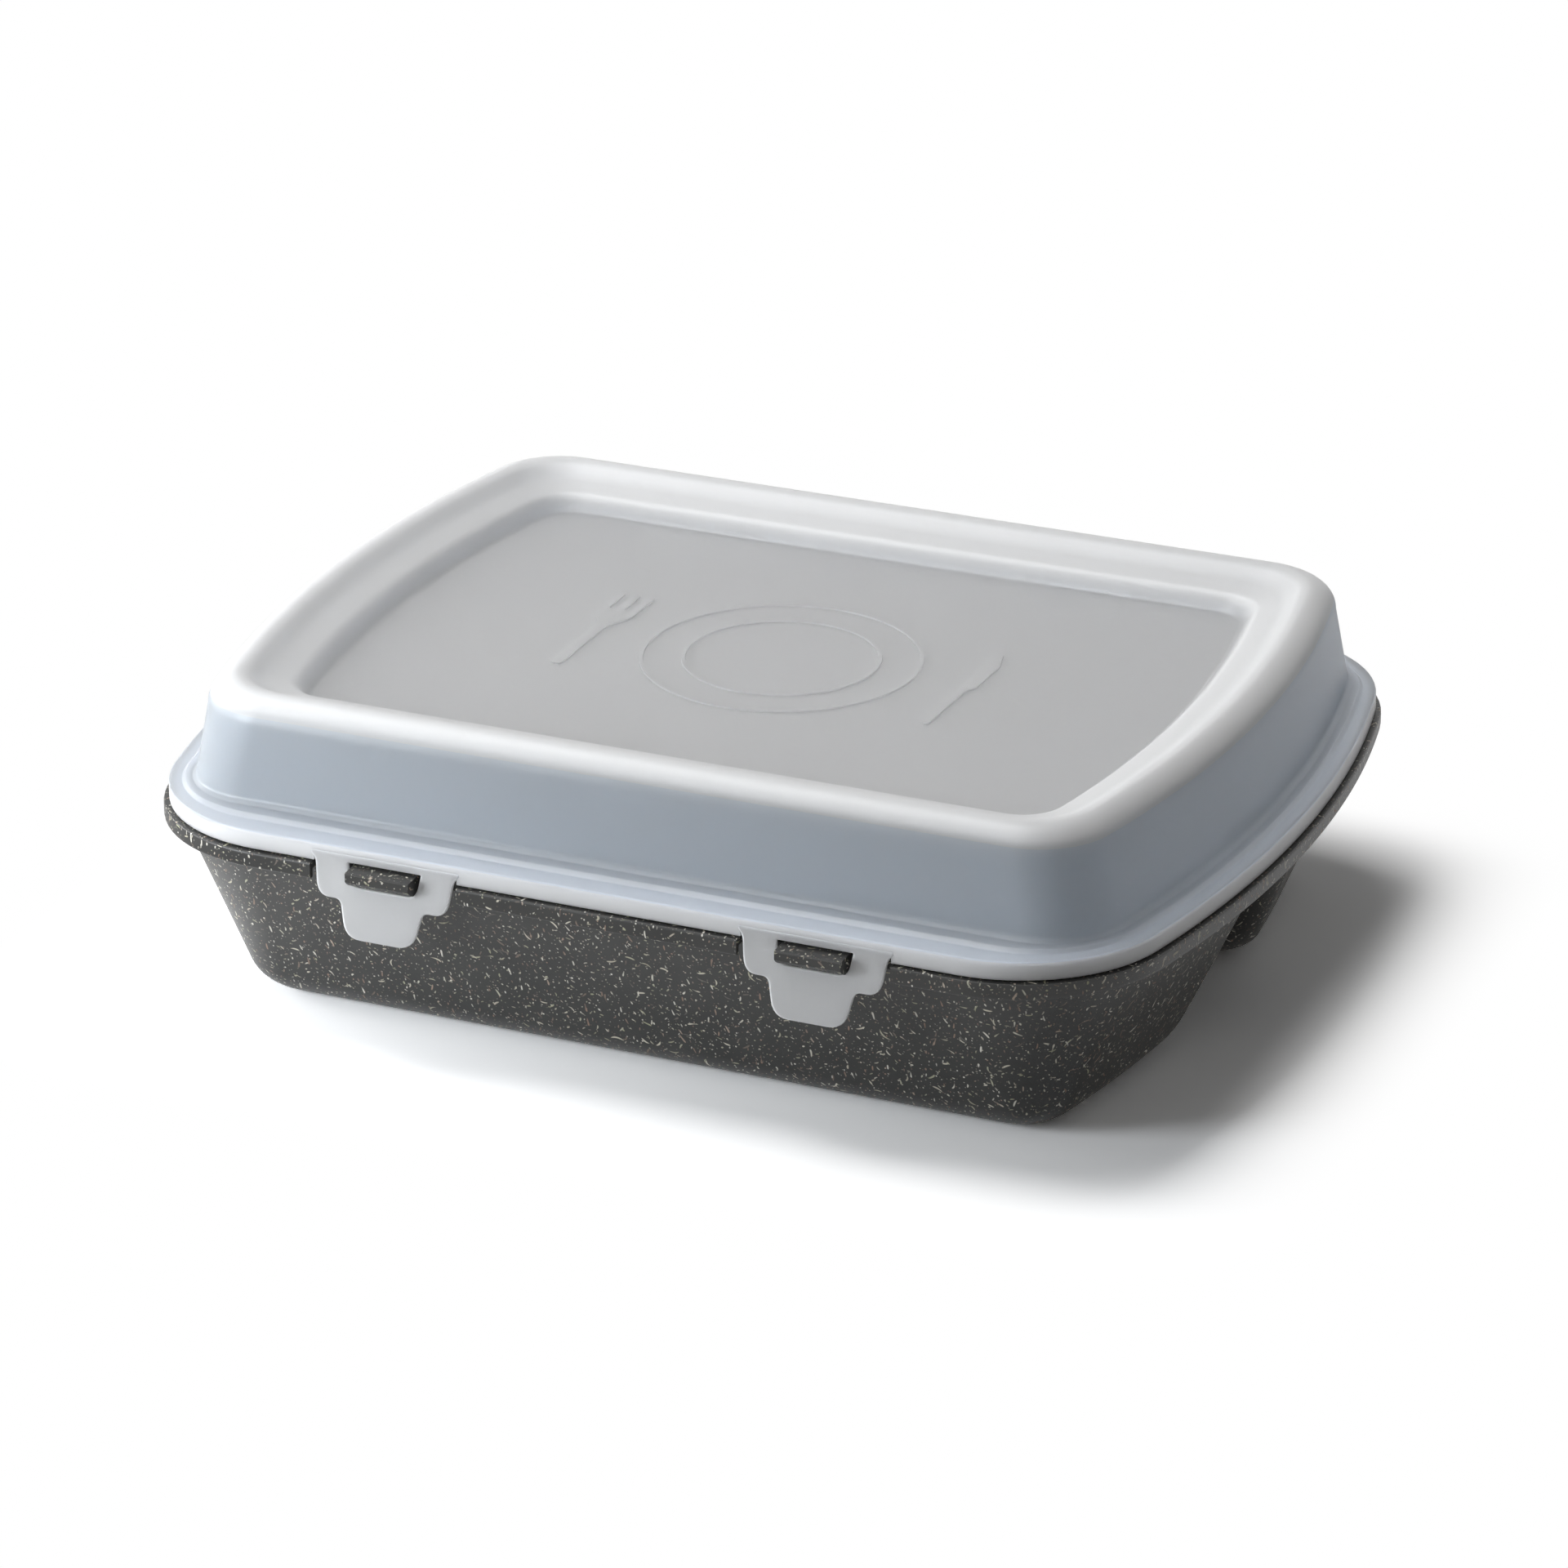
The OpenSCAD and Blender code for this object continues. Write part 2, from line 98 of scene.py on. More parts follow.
# Lid
lid_t = 1.2
lip_h = 4
ledge_side = 6.2
ledge_long = 10.8
bead_h = 0.8
shoulder_r = 6
lid_draft_side = math.radians(11)
lid_draft_long = math.radians(2.5)
lid_corner_r = 17
panel_drop = 7.2
band_w = 14.5
panel_corner_r = 8
mark_h = 0.35
mark_w = 1.1
mark_root = 0.4
mark_slope = 0.15
mark_foot = tray_h + crest_h - panel_drop - mark_root
mark_top = mark_foot + mark_root + mark_h

# Tabs and the lugs that they hook over
tab_pitch = 96
tab_w = 31.4
tab_l = 17.1
tab_shoulder_l = 9.1
grip_w = 18.8
tab_t = 1.2
tab_tilt = math.radians(13)
slot_w = 16.8
hinge_r = 0.7
lug_w = 14.5
lug_reach = 4
lug_gap = 0.35
lug_end_r = 1.5
lug_edge_r = 0.18
tab_edge_r = 0.28
tab_band_w = 0.15
tab_flare = 1.2
rim_notch = 1.25
hinge_in = hinge_r - 0.25
hinge_z = tray_h + lip_h - lid_t - hinge_r - 0.1
slot_top = hinge_r + 0.55
slot_end = tab_shoulder_l - 2.9


def mix(a, b, t):
    return a + (b - a) * t


def deselect_all():
    bpy.ops.object.select_all(action="DESELECT")


def pick(piece):
    deselect_all()
    piece.select_set(True)
    bpy.context.view_layer.objects.active = piece


def edit(piece):
    pick(piece)
    bpy.ops.object.mode_set(mode="EDIT")
    bpy.ops.mesh.select_all(action="DESELECT")
    return bmesh.from_edit_mesh(piece.data)


def finish_edit():
    bpy.ops.mesh.select_all(action="SELECT")
    bpy.ops.mesh.normals_make_consistent(inside=False)
    bpy.ops.object.mode_set(mode="OBJECT")


def select_sharp(piece, angle):
    edit(piece)
    bpy.ops.mesh.select_mode(type="EDGE")
    bpy.ops.mesh.edges_select_sharp(sharpness=math.radians(angle))


def modify(piece, kind, **settings):
    """Adds a modifier with these settings and applies it."""
    pick(piece)
    bpy.ops.object.modifier_add(type=kind)
    modifier = piece.modifiers[-1]
    for name, value in settings.items():
        setattr(modifier, name, value)
    bpy.ops.object.modifier_apply(modifier=modifier.name)


def join_to(piece, tool):
    modify(piece, "BOOLEAN", object=tool, operation="UNION", solver="EXACT")
    bpy.data.objects.remove(tool)


def cut_from(piece, tool):
    modify(piece, "BOOLEAN", object=tool, operation="DIFFERENCE", solver="EXACT")
    bpy.data.objects.remove(tool)


def smooth(piece, angle=32):
    pick(piece)
    bpy.ops.object.shade_smooth_by_angle(angle=math.radians(angle))
    modify(piece, "WEIGHTED_NORMAL", keep_sharp=True)


def start_outline(name, points, fill):
    """A closed outline of points in millimetres, in edit mode with all of it selected."""
    deselect_all()
    bpy.ops.mesh.primitive_circle_add(vertices=len(points), fill_type=fill, radius=MM)
    piece = bpy.context.object
    piece.name = name
    for vert, point in zip(piece.data.vertices, points):
        vert.co = Vector(point) * MM
    bpy.ops.object.mode_set(mode="EDIT")
    bpy.ops.mesh.select_all(action="SELECT")
    return piece


def move_loop(piece, before, after):
    """Moves the selected loop, which lies on the points before, to the points after."""
    mesh = bmesh.from_edit_mesh(piece.data)
    places = KDTree(len(before))
    for i, point in enumerate(before):
        places.insert(Vector(point) * MM, i)
    places.balance()
    for vert in [v for v in mesh.verts if v.select]:
        vert.co = Vector(after[places.find(vert.co)[1]]) * MM
    bmesh.update_edit_mesh(piece.data)


def loft(name, loops):
    """Extrudes a closed loop of points from level to level, and leaves it open in edit mode."""
    piece = start_outline(name, loops[0], "NOTHING")
    for before, after in zip(loops, loops[1:]):
        bpy.ops.mesh.extrude_edges_indiv()
        move_loop(piece, before, after)
    return piece


def close_ends():
    """Fills the loop that is selected, and then the other open end."""
    bpy.ops.mesh.edge_face_add()
    bpy.ops.mesh.select_all(action="DESELECT")
    bpy.ops.mesh.select_mode(type="EDGE")
    bpy.ops.mesh.select_non_manifold()
    bpy.ops.mesh.edge_face_add()
    finish_edit()


def prism(name, outline, reach):
    """A flat outline of points in millimetres, filled and extruded by a vector."""
    piece = start_outline(name, outline, "NGON")
    bpy.ops.mesh.extrude_region_move(TRANSFORM_OT_translate={"value": Vector(reach) * MM})
    finish_edit()
    return piece


def box(name, low, high):
    low, high = Vector(low), Vector(high)
    corners = [(low.x, low.y), (high.x, low.y), (high.x, high.y), (low.x, high.y)]
    return prism(name, [(x, y, low.z) for x, y in corners], (0, 0, high.z - low.z))


def all_round(quarter, height):
    """A closed loop at one level from its quarter, which runs from the X axis to the Y axis."""
    loop = []
    for sx, sy in ((1, 1), (-1, 1), (-1, -1), (1, -1)):
        part = [(sx * x, sy * y, height) for x, y in quarter]
        loop += part if sx == sy else part[::-1]
    return [point for i, point in enumerate(loop) if point != loop[i - 1]]


def ring(inset_x, inset_y, height, corner):
    """The box's outline at one level: bowed short sides, straight long sides, round corners."""
    reach_x, reach_y = half_w - inset_x, half_d - inset_y
    bow = side_bow_r - inset_x
    bow_x = reach_x - bow
    corner_x = bow_x + math.sqrt((bow - corner) ** 2 - (reach_y - corner) ** 2)
    start = math.atan2(reach_y - corner, corner_x - bow_x)
    bowed = [start * i / BOW_STEPS for i in range(BOW_STEPS + 1)]
    turned = [mix(start, math.pi / 2, i / CORNER_STEPS) for i in range(1, CORNER_STEPS + 1)]
    quarter = [(bow_x + bow * math.cos(a), bow * math.sin(a)) for a in bowed]
    quarter += [
        (corner_x + corner * math.cos(a), reach_y - corner + corner * math.sin(a)) for a in turned
    ]
    return all_round(quarter, height)


def rounded(knots, steps=5, closed=False):
    """Rounds each knot of a path. A knot's last number is how far its rounding reaches."""
    path, last = [], len(knots) - 1
    for i, (*knot, reach) in enumerate(knots):
        here = Vector(knot)
        if not closed and i in (0, last) or not reach:
            path.append(tuple(here))
            continue
        ends = []
        for near in (knots[i - 1], knots[(i + 1) % len(knots)]):
            away = Vector(near[:-1]) - here
            ends.append(here + away * min(reach / away.length, 0.49))
        for k in range(steps + 1):
            t = k / steps
            path.append(tuple(ends[0] * (1 - t) ** 2 + here * 2 * t * (1 - t) + ends[1] * t ** 2))
    return path


# Tray: the section goes from the foot up the outside, over the rim and down the inside
def wall_line(z):
    return wall_inset + (wall_top - z) * math.tan(tray_draft)


wall_across = tray_wall / math.cos(tray_draft)
foot_tangent_z = foot_r * (1 - math.sin(tray_draft))
foot_middle = wall_line(foot_tangent_z) + foot_r * math.cos(tray_draft)


def wall_station(z, across):
    t = min(max((wall_top - z) / (wall_top - foot_tangent_z), 0), 1)
    inset = wall_line(z) + across
    return (inset, inset, z, mix(wall_corner_r, foot_corner_r, t) - across)


def foot_stations(radius, corner_cut):
    """The rounding at the foot, from the wall down to the flat."""
    stations = []
    for i in range(ARC_STEPS + 1):
        t = i / ARC_STEPS
        a = mix(tray_draft, math.pi / 2, t)
        inset = foot_middle - radius * math.cos(a)
        corner = max(foot_corner_r - corner_cut - t * foot_r * 0.5, 3)
        stations.append((inset, inset, foot_r - radius * math.sin(a), corner))
    return stations


def level(inset, z, reach):
    return (inset, inset, z, corner_r - inset, reach)


def tray_rings():
    rib_top = rim_top + rib_h
    rim = [
        (*wall_station(wall_top * 0.6, 0), 0),
        (*wall_station(wall_top, 0), 4),
        level(wall_line(rim_under), rim_under, 1.2),
        level(skirt_t - rim_reach, rim_under, 0.35),
        level(skirt_t - rim_reach, skirt_bottom, 0.3),
        level(-rim_reach, skirt_bottom, 0.8),
        level(-rim_reach, rim_top, 0.7),
        level(rib_inset, rim_top, 0.4),
        level(rib_inset + 0.1, rib_top, 0.8),
        level(rib_inset + rib_w, rib_top, 0.8),
        level(wall_line(wall_top) + wall_across - 0.15, wall_top + 1, 2),
        (*wall_station(wall_top * 0.6, wall_across), 0),
    ]
    stations = foot_stations(foot_r, 0)[::-1]
    stations += rounded(rim)
    stations += foot_stations(foot_r - tray_wall, tray_wall)
    return [ring(*s) for s in stations]


def strip_loop(half, wall_x, r, beyond, height):
    """A strip along X. At each end it flares in an arc that turns until it runs along the bowed
    wall, and goes on through the wall."""
    bow = side_bow_r - half_w + wall_x
    bow_x = wall_x - bow
    turn_x = bow_x + math.sqrt((bow - r) ** 2 - (half + r) ** 2)
    stop = math.atan2(half + r, turn_x - bow_x) - flare_short
    turns = [mix(stop, -math.pi / 2, i / ARC_STEPS) for i in range(ARC_STEPS + 1)]
    flare = [(turn_x + r * math.cos(a), half + r + r * math.sin(a)) for a in turns]
    along = math.atan2(flare[0][1], flare[0][0] - bow_x)
    ends = [along * share for share in (0.2, 0.6, 1)]
    end = [(bow_x + (bow + beyond) * math.cos(a), (bow + beyond) * math.sin(a)) for a in ends]
    return all_round(end + flare, height)


def foot_curve(radius, z):
    """How far the foot's rounding stands out from its centre at a height."""
    return radius if z >= foot_r else math.sqrt(max(radius ** 2 - (foot_r - z) ** 2, 0))


def end_wall_x(z, radius, across):
    if z > foot_tangent_z:
        return half_w - wall_line(z) - across
    return half_w - foot_middle + foot_curve(radius, z)


def channel_side(z):
    return channel_w / 2 + (channel_h - z) * math.tan(divider_draft)


def quarter_turn(steps=ARC_STEPS):
    return [math.pi / 2 * i / steps for i in range(steps + 1)]


def foot_levels(radius):
    """Levels up the foot's rounding. The first lies a little above its lowest point."""
    return [foot_r - radius * math.cos(a) * 0.999 for a in quarter_turn()]


def edge_levels(top, radius, steps=ARC_STEPS):
    """Levels up a rounded edge, to its top."""
    return [top - radius * (1 - math.sin(a)) for a in quarter_turn(steps)]


def edge_inset(z, top, radius):
    """How far a rounded edge lies in at a height."""
    rise = max(z - top + radius, 0)
    return radius - math.sqrt(max(radius ** 2 - rise ** 2, 0))


def divider():
    """The ridge between the compartments, as a solid strip over the channel."""
    inner = foot_r - tray_wall
    top = channel_h + tray_wall
    levels = foot_levels(inner) + [top * 0.6] + edge_levels(top, divider_edge_r)

    def loop_at(z, height):
        half = channel_side(z) + tray_wall / math.cos(divider_draft)
        half += inner - foot_curve(inner, z)
        half -= edge_inset(z, top, divider_edge_r)
        wall_x = end_wall_x(z, inner, wall_across)
        return strip_loop(half, wall_x, pod_corner_r - tray_wall, wall_across * 0.4, height)

    piece = loft("divider", [loop_at(levels[0], tray_wall * 0.6)] + [loop_at(z, z) for z in levels])
    close_ends()
    return piece


def channel():
    """The hollow that runs under the divider from side to side."""
    levels = foot_levels(foot_r) + [channel_h * 0.6]
    levels += edge_levels(channel_h, channel_edge_r, CHANNEL_EDGE_STEPS)

    def loop_at(z, height):
        half = channel_side(z) + foot_r - foot_curve(foot_r, z)
        half -= edge_inset(z, channel_h, channel_edge_r)
        return strip_loop(half, end_wall_x(z, foot_r, 0), pod_corner_r, 4, height)

    piece = loft("channel", [loop_at(levels[0], -1)] + [loop_at(z, z) for z in levels])
    close_ends()
    return piece


def tab_places():
    """Side (1 is the front, -1 the back) and place along X of each tab."""
    return [(side, side * x) for side in (1, -1) for x in (-tab_pitch / 2, tab_pitch / 2)]


def to_side(piece, side, x):
    """Moves a piece that was made at the middle of the front edge to its tab's place."""
    turn = Matrix.Rotation(0 if side == 1 else math.pi, 4, "Z")
    piece.data.transform(turn @ Matrix.Translation((side * x * MM, -half_d * MM, 0)))
    return piece


def lug():
    """A wedge whose lower front keeps clear of the slot's far edge as the tab turns."""
    sweep = slot_end - lug_gap
    top = hinge_z - slot_top - lug_gap - 0.1
    root, front = rib_inset + 0.35, -lug_reach
    start = math.acos((hinge_in - front) / sweep)
    turns = [mix(start, math.pi / 2, i / ARC_STEPS) for i in range(ARC_STEPS + 1)]
    side_view = [(root, top), (0, top), (front + 0.3, top - 0.15), (front, top - 0.45)]
    side_view += [(hinge_in - sweep * math.cos(a), hinge_z - sweep * math.sin(a)) for a in turns]
    side_view.append((root, hinge_z - sweep))
    piece = prism("lug", [(-lug_w / 2, y, z) for y, z in side_view], (lug_w, 0, 0))
    mesh = edit(piece)
    bpy.ops.mesh.select_mode(type="EDGE")
    for edge in mesh.edges:
        one, other = (v.co / MM for v in edge.verts)
        low = max(one.z, other.z) < top - 0.4 and max(one.y, other.y) < hinge_in + 0.01
        edge.select = low and abs(one.x - other.x) < 0.01
    bmesh.update_edit_mesh(piece.data)
    bpy.ops.mesh.bevel(offset=lug_end_r * MM, segments=6, clamp_overlap=True)
    finish_edit()
    select_sharp(piece, 40)
    bpy.ops.mesh.bevel(offset=lug_edge_r * MM, segments=2, clamp_overlap=True)
    finish_edit()
    return piece


def make_tray():
    """The tray with its divider, and at each tab a notch in the rim and a lug."""
    piece = loft("tray_body", tray_rings())
    close_ends()
    join_to(piece, divider())
    cut_from(piece, channel())
    notch_half = tab_w / 2 + 1
    for side, x in tab_places():
        low = (-notch_half, -rim_reach - 1, skirt_bottom - 1)
        high = (notch_half, rim_notch, rim_top + 1)
        cut_from(piece, to_side(box("notch", low, high), side, x))
        join_to(piece, to_side(lug(), side, x))
    smooth(piece)
    return piece


# Lid: the section goes from the panel down the inside to the lip, and back up the outside.
# Depth is how far a surface lies under the outer one.
def ledge(t, z, depth, reach):
    corner = mix(corner_r, lid_corner_r, t)
    inset = depth * t
    return (
        mix(0, ledge_side, t) + inset, mix(0, ledge_long, t) + inset, tray_h + z - depth,
        corner - inset, reach,
    )


def lid_wall(z, depth, reach):
    side = ledge_side + (z - lip_h) * math.tan(lid_draft_side) + depth
    long = ledge_long + (z - lip_h) * math.tan(lid_draft_long) + depth
    return (side, long, tray_h + z, lid_corner_r - depth, reach)


def shoulder(t, depth):
    a = math.pi / 2 * t
    foot = lid_wall(crest_h - shoulder_r, 0, 0)
    across = shoulder_r - (shoulder_r - depth) * math.cos(a)
    z = tray_h + crest_h - shoulder_r + (shoulder_r - depth) * math.sin(a)
    return (foot[0] + across, foot[1] + across, z, lid_corner_r - across * 0.5, 0)


def band(t, fall, depth, reach):
    crest = shoulder(1, 0)
    z = tray_h + crest_h - panel_drop * fall - depth
    corner = mix(crest[3], panel_corner_r, t)
    return (crest[0] + band_w * 0.96 * t, crest[1] + band_w * t, z, corner, reach)


def lid_side(depth):
    """One side of the lid's section, from the lip up to the panel."""
    lip_round = 1.0 if depth == 0 else 0.2
    knots = [
        (depth, depth, tray_h, corner_r - depth, 0.3),
        (depth, depth, tray_h + lip_h - depth, corner_r - depth, lip_round),
        ledge(0.50, lip_h, depth, 0.5),
        ledge(0.62, lip_h + bead_h, depth, 0.6),
        ledge(0.90, lip_h + bead_h, depth, 0.5),
        lid_wall(lip_h + bead_h + 0.8 - depth * 0.6, depth, 0.8),
        lid_wall(crest_h - shoulder_r * 1.5, depth, 0),
    ]
    knots += [shoulder(i / ARC_STEPS, depth) for i in range(ARC_STEPS + 1)]
    return knots + [
        band(0.12, 0.05, depth, 1),
        band(0.34, 0.32, depth, 2),
        band(0.74, 0.55, depth, 1.2),
        band(0.94, 0.93, depth, 0.6),
        band(1, 1, depth, 0),
        band(1.08, 1, depth, 0),
    ]


def emboss(name, outline):
    """A flat mark that stands up from the panel, from its outline seen from above."""
    return prism(name, [(x, y, mark_foot) for x, y in outline], (0, 0, mark_root + mark_h))


def plate_ring(radius):
    """A thin raised ring round the middle of the panel."""
    inner, outer = radius - mark_w / 2, radius + mark_w / 2
    profile = [(inner, 0, mark_foot), (outer, 0, mark_foot)]
    profile += [(outer - mark_slope, 0, mark_top), (inner + mark_slope, 0, mark_top)]
    piece = start_outline("ring", profile, "NOTHING")
    bpy.ops.mesh.spin(
        steps=96, angle=FULL_TURN, center=(0, 0, 0), axis=(0, 0, 1), use_auto_merge=True,
    )
    bpy.ops.mesh.select_all(action="SELECT")
    bpy.ops.mesh.remove_doubles(threshold=0.02 * MM)
    finish_edit()
    return piece


def knife(x):
    half = [(-22, 1.4), (-2, 1.8), (0, 3.2), (13, 3.4), (20, 1.6)]
    left = [(x - 1.6, y, 1) for y, _ in half]
    right = [(x - 1.6 + w, y, 1) for y, w in half[::-1]]
    return emboss("knife", rounded(left + right, steps=3, closed=True))


def fork(x):
    """A fork with three prongs, drawn up one side and down the other."""
    half = [(1.3, -22, 1), (1.3, 2, 2), (4.2, 7, 2), (4.2, 20, 0.6), (2.8, 20, 0.6), (2.8, 11, 0.8)]
    half += [(0.8, 11, 0.8), (0.8, 20, 0.6)]
    outline = [(x + w, y, r) for w, y, r in half] + [(x - w, y, r) for w, y, r in half[::-1]]
    return emboss("fork", rounded(outline, steps=3, closed=True))


def make_lid():
    """The lid with the marks on its panel, and a notch in the lip at each tab."""
    knots = lid_side(lid_t)[::-1] + lid_side(0)
    piece = loft("lid_shell", [ring(*s) for s in rounded(knots)])
    close_ends()
    for mark in (plate_ring(30), plate_ring(21), fork(-43), knife(43)):
        join_to(piece, mark)
    notch_half, notch_top = tab_w / 2 + 0.7, hinge_z - 0.2
    for side, x in tab_places():
        low, high = (-notch_half, -1, tray_h - 1), (notch_half, lid_t + 0.15, notch_top)
        cut_from(piece, to_side(box("notch", low, high), side, x))
    smooth(piece)
    return piece


# Tabs: X goes across, and v down from the hinge line along the tab
def tab_point(x, v, out):
    """A point on a tab in its hooked place, out from the tab's middle plane."""
    y = hinge_in - v * math.sin(tab_tilt) - out * math.cos(tab_tilt)
    z = hinge_z - v * math.cos(tab_tilt) + out * math.sin(tab_tilt)
    return (x, y, z)


def tab_plate(name, half_outline, thickness):
    """A plate along a tab's plane, from one half of its outline with a rounding at each knot."""
    other_half = [(-x, v, r) for x, v, r in half_outline[::-1]]
    outline = rounded([*half_outline, *other_half], steps=6, closed=True)
    reach = Vector(tab_point(0, 0, thickness)) - Vector(tab_point(0, 0, 0))
    return prism(name, [tab_point(x, v, -thickness / 2) for x, v in outline], reach)


def face_on(normal):
    """1 for a normal that stands square on a tab's plane."""
    return abs(normal.y) * math.cos(tab_tilt) + abs(normal.z) * math.sin(tab_tilt)


def rim_band(piece):
    """Insets both faces of a tab, for the milky band along its edges."""
    mesh = edit(piece)
    bpy.ops.mesh.select_mode(type="FACE")
    for face in mesh.faces:
        face.select = face_on(face.normal) > 0.9999
    bmesh.update_edit_mesh(piece.data)
    bpy.ops.mesh.inset(thickness=tab_band_w * MM, use_even_offset=False)
    finish_edit()


def make_tab(name, side, x):
    """A tab in its hooked place, with its slot and rounded edges."""
    shoulder_half = tab_w / 2 - 1
    half = [
        (tab_w / 2 + tab_flare, -0.5, 0),
        (tab_w / 2 + tab_flare, 0.3, 0),
        (tab_w / 2, 1.5, 1.2),
        (shoulder_half, tab_shoulder_l, 3.4),
        (grip_w / 2, tab_shoulder_l, 1.4),
        (grip_w / 2 - 1.8, tab_l, 3.4),
    ]
    piece = tab_plate(name, half, tab_t)
    slot = [(slot_w / 2, slot_top, 0.3), (slot_w / 2 - 0.8, slot_end, 2.2)]
    cut_from(piece, tab_plate("slot", slot, tab_t * 3))
    select_sharp(piece, 50)
    bpy.ops.mesh.bevel(offset=tab_edge_r * MM, segments=3)
    finish_edit()
    rim_band(piece)
    smooth(piece, 40)
    return to_side(piece, side, x)


# Finishes, and how clear the plastic is at most on each part
WALL_CLEAR = 0.64
PANEL_CLEAR = 0.6
TAB_CLEAR = 0.5


def new_material(name):
    material = bpy.data.materials.new(name)
    material.use_nodes = True
    return material, material.node_tree, material.node_tree.nodes["Principled BSDF"]


def add(tree, kind, inputs=None, **settings):
    """Adds a node, sets it up, and gives or links its inputs."""
    node = tree.nodes.new(kind)
    for name, value in settings.items():
        setattr(node, name, value)
    for name, value in (inputs or {}).items():
        if isinstance(value, bpy.types.NodeSocket):
            tree.links.new(value, node.inputs[name])
        else:
            node.inputs[name].default_value = value
    return node


def math_node(tree, operation, a, b=None, c=None):
    values = {i: v for i, v in enumerate((a, b, c)) if v is not None}
    return add(tree, "ShaderNodeMath", values, operation=operation).outputs[0]


def vector_node(tree, operation, a, b=None):
    values = {i: v for i, v in enumerate((a, b)) if v is not None}
    node = add(tree, "ShaderNodeVectorMath", values, operation=operation)
    return node.outputs["Value" if operation in ("DOT_PRODUCT", "LENGTH") else "Vector"]


def fibres(tree, place, normal, cell, long, thin, bend):
    """Short curved fibres that lie along the surface, one in each cell of this size in metres.
    Gives how much fibre shows and a number that differs from fibre to fibre."""
    cells = add(tree, "ShaderNodeTexVoronoi", {"Vector": place, "Scale": 1 / cell})
    away = vector_node(tree, "SUBTRACT", place, cells.outputs["Position"])
    depth = vector_node(tree, "DOT_PRODUCT", away, normal)
    inward = add(tree, "ShaderNodeVectorMath", {0: normal, "Scale": depth}, operation="SCALE")
    flat = vector_node(tree, "SUBTRACT", away, inward.outputs[0])
    full_turns = (FULL_TURN, FULL_TURN, FULL_TURN)
    angles = vector_node(tree, "MULTIPLY", cells.outputs["Color"], full_turns)
    turned = add(
        tree, "ShaderNodeVectorRotate", {"Vector": flat, "Rotation": angles},
        rotation_type="EULER_XYZ",
    )
    axes = add(tree, "ShaderNodeSeparateXYZ", {0: turned.outputs[0]})
    chance = add(tree, "ShaderNodeSeparateColor", {0: cells.outputs["Color"]})
    sag = math_node(tree, "MULTIPLY", math_node(tree, "POWER", axes.outputs[0], 2), bend)
    across = math_node(tree, "ADD", axes.outputs[1], sag)
    part_long = math_node(tree, "DIVIDE", axes.outputs[0], long)
    part_across = math_node(tree, "DIVIDE", across, thin)
    part_deep = math_node(tree, "DIVIDE", axes.outputs[2], thin)
    size = add(
        tree, "ShaderNodeCombineXYZ", {0: part_long, 1: part_across, 2: part_deep}
    ).outputs[0]
    reach = vector_node(tree, "LENGTH", size)
    fade = add(
        tree, "ShaderNodeMapRange",
        {"Value": reach, "From Min": 1.0, "From Max": 0.6, "To Min": 0.0, "To Max": 1.0},
    )
    return fade.outputs[0], chance.outputs[1]


def speckled_composite():
    """Charcoal plastic filled with pale plant fibres."""
    material, tree, shader = new_material("speckled_composite")
    coordinates = add(tree, "ShaderNodeTexCoord")
    place, normal = coordinates.outputs["Object"], coordinates.outputs["Normal"]
    cloud = add(tree, "ShaderNodeTexNoise", {"Vector": place, "Scale": 90, "Detail": 3})
    ground = add(tree, "ShaderNodeValToRGB", {0: cloud.outputs[0]})
    ground.color_ramp.elements[0].position = 0.3
    ground.color_ramp.elements[0].color = (0.014, 0.014, 0.013, 1)
    ground.color_ramp.elements[1].position = 0.75
    ground.color_ramp.elements[1].color = (0.028, 0.028, 0.026, 1)
    colour = ground.outputs[0]
    layers = [
        (0.0050, 0.0021, 0.00026, 220, 1.0),
        (0.0034, 0.0014, 0.00021, 320, 0.9),
        (0.0023, 0.0007, 0.00017, 400, 0.7),
        (0.0018, 0.00024, 0.00016, 0, 0.35),
    ]
    total = None
    for cell, long, thin, bend, strength in layers:
        shown, chance = fibres(tree, place, normal, cell, long, thin, bend)
        tint = add(tree, "ShaderNodeValToRGB", {0: chance})
        tint.color_ramp.elements[0].color = (0.62, 0.58, 0.47, 1)
        tint.color_ramp.elements[1].color = (0.10, 0.10, 0.09, 1)
        for position, shade in (
            (0.25, (0.78, 0.75, 0.68, 1)),
            (0.42, (0.36, 0.36, 0.24, 1)),
            (0.58, (0.55, 0.50, 0.42, 1)),
            (0.72, (0.30, 0.20, 0.15, 1)),
        ):
            tint.color_ramp.elements.new(position).color = shade
        amount = math_node(tree, "MULTIPLY", shown, strength)
        mixed = add(tree, "ShaderNodeMix", data_type="RGBA")
        tree.links.new(amount, mixed.inputs[0])
        tree.links.new(colour, mixed.inputs[6])
        tree.links.new(tint.outputs[0], mixed.inputs[7])
        colour = mixed.outputs[2]
        total = amount if total is None else math_node(tree, "MAXIMUM", total, amount)
    tree.links.new(colour, shader.inputs["Base Color"])
    roughness = add(
        tree, "ShaderNodeMapRange", {"Value": total, "To Min": 0.42, "To Max": 0.6}
    )
    tree.links.new(roughness.outputs[0], shader.inputs["Roughness"])
    grain = add(tree, "ShaderNodeTexNoise", {"Vector": place, "Scale": 1400, "Detail": 2})
    height = math_node(tree, "ADD", math_node(tree, "MULTIPLY", total, 0.5), grain.outputs[0])
    bump = add(
        tree, "ShaderNodeBump", {"Height": height, "Strength": 0.25, "Distance": 0.00006}
    )
    tree.links.new(bump.outputs[0], shader.inputs["Normal"])
    return material


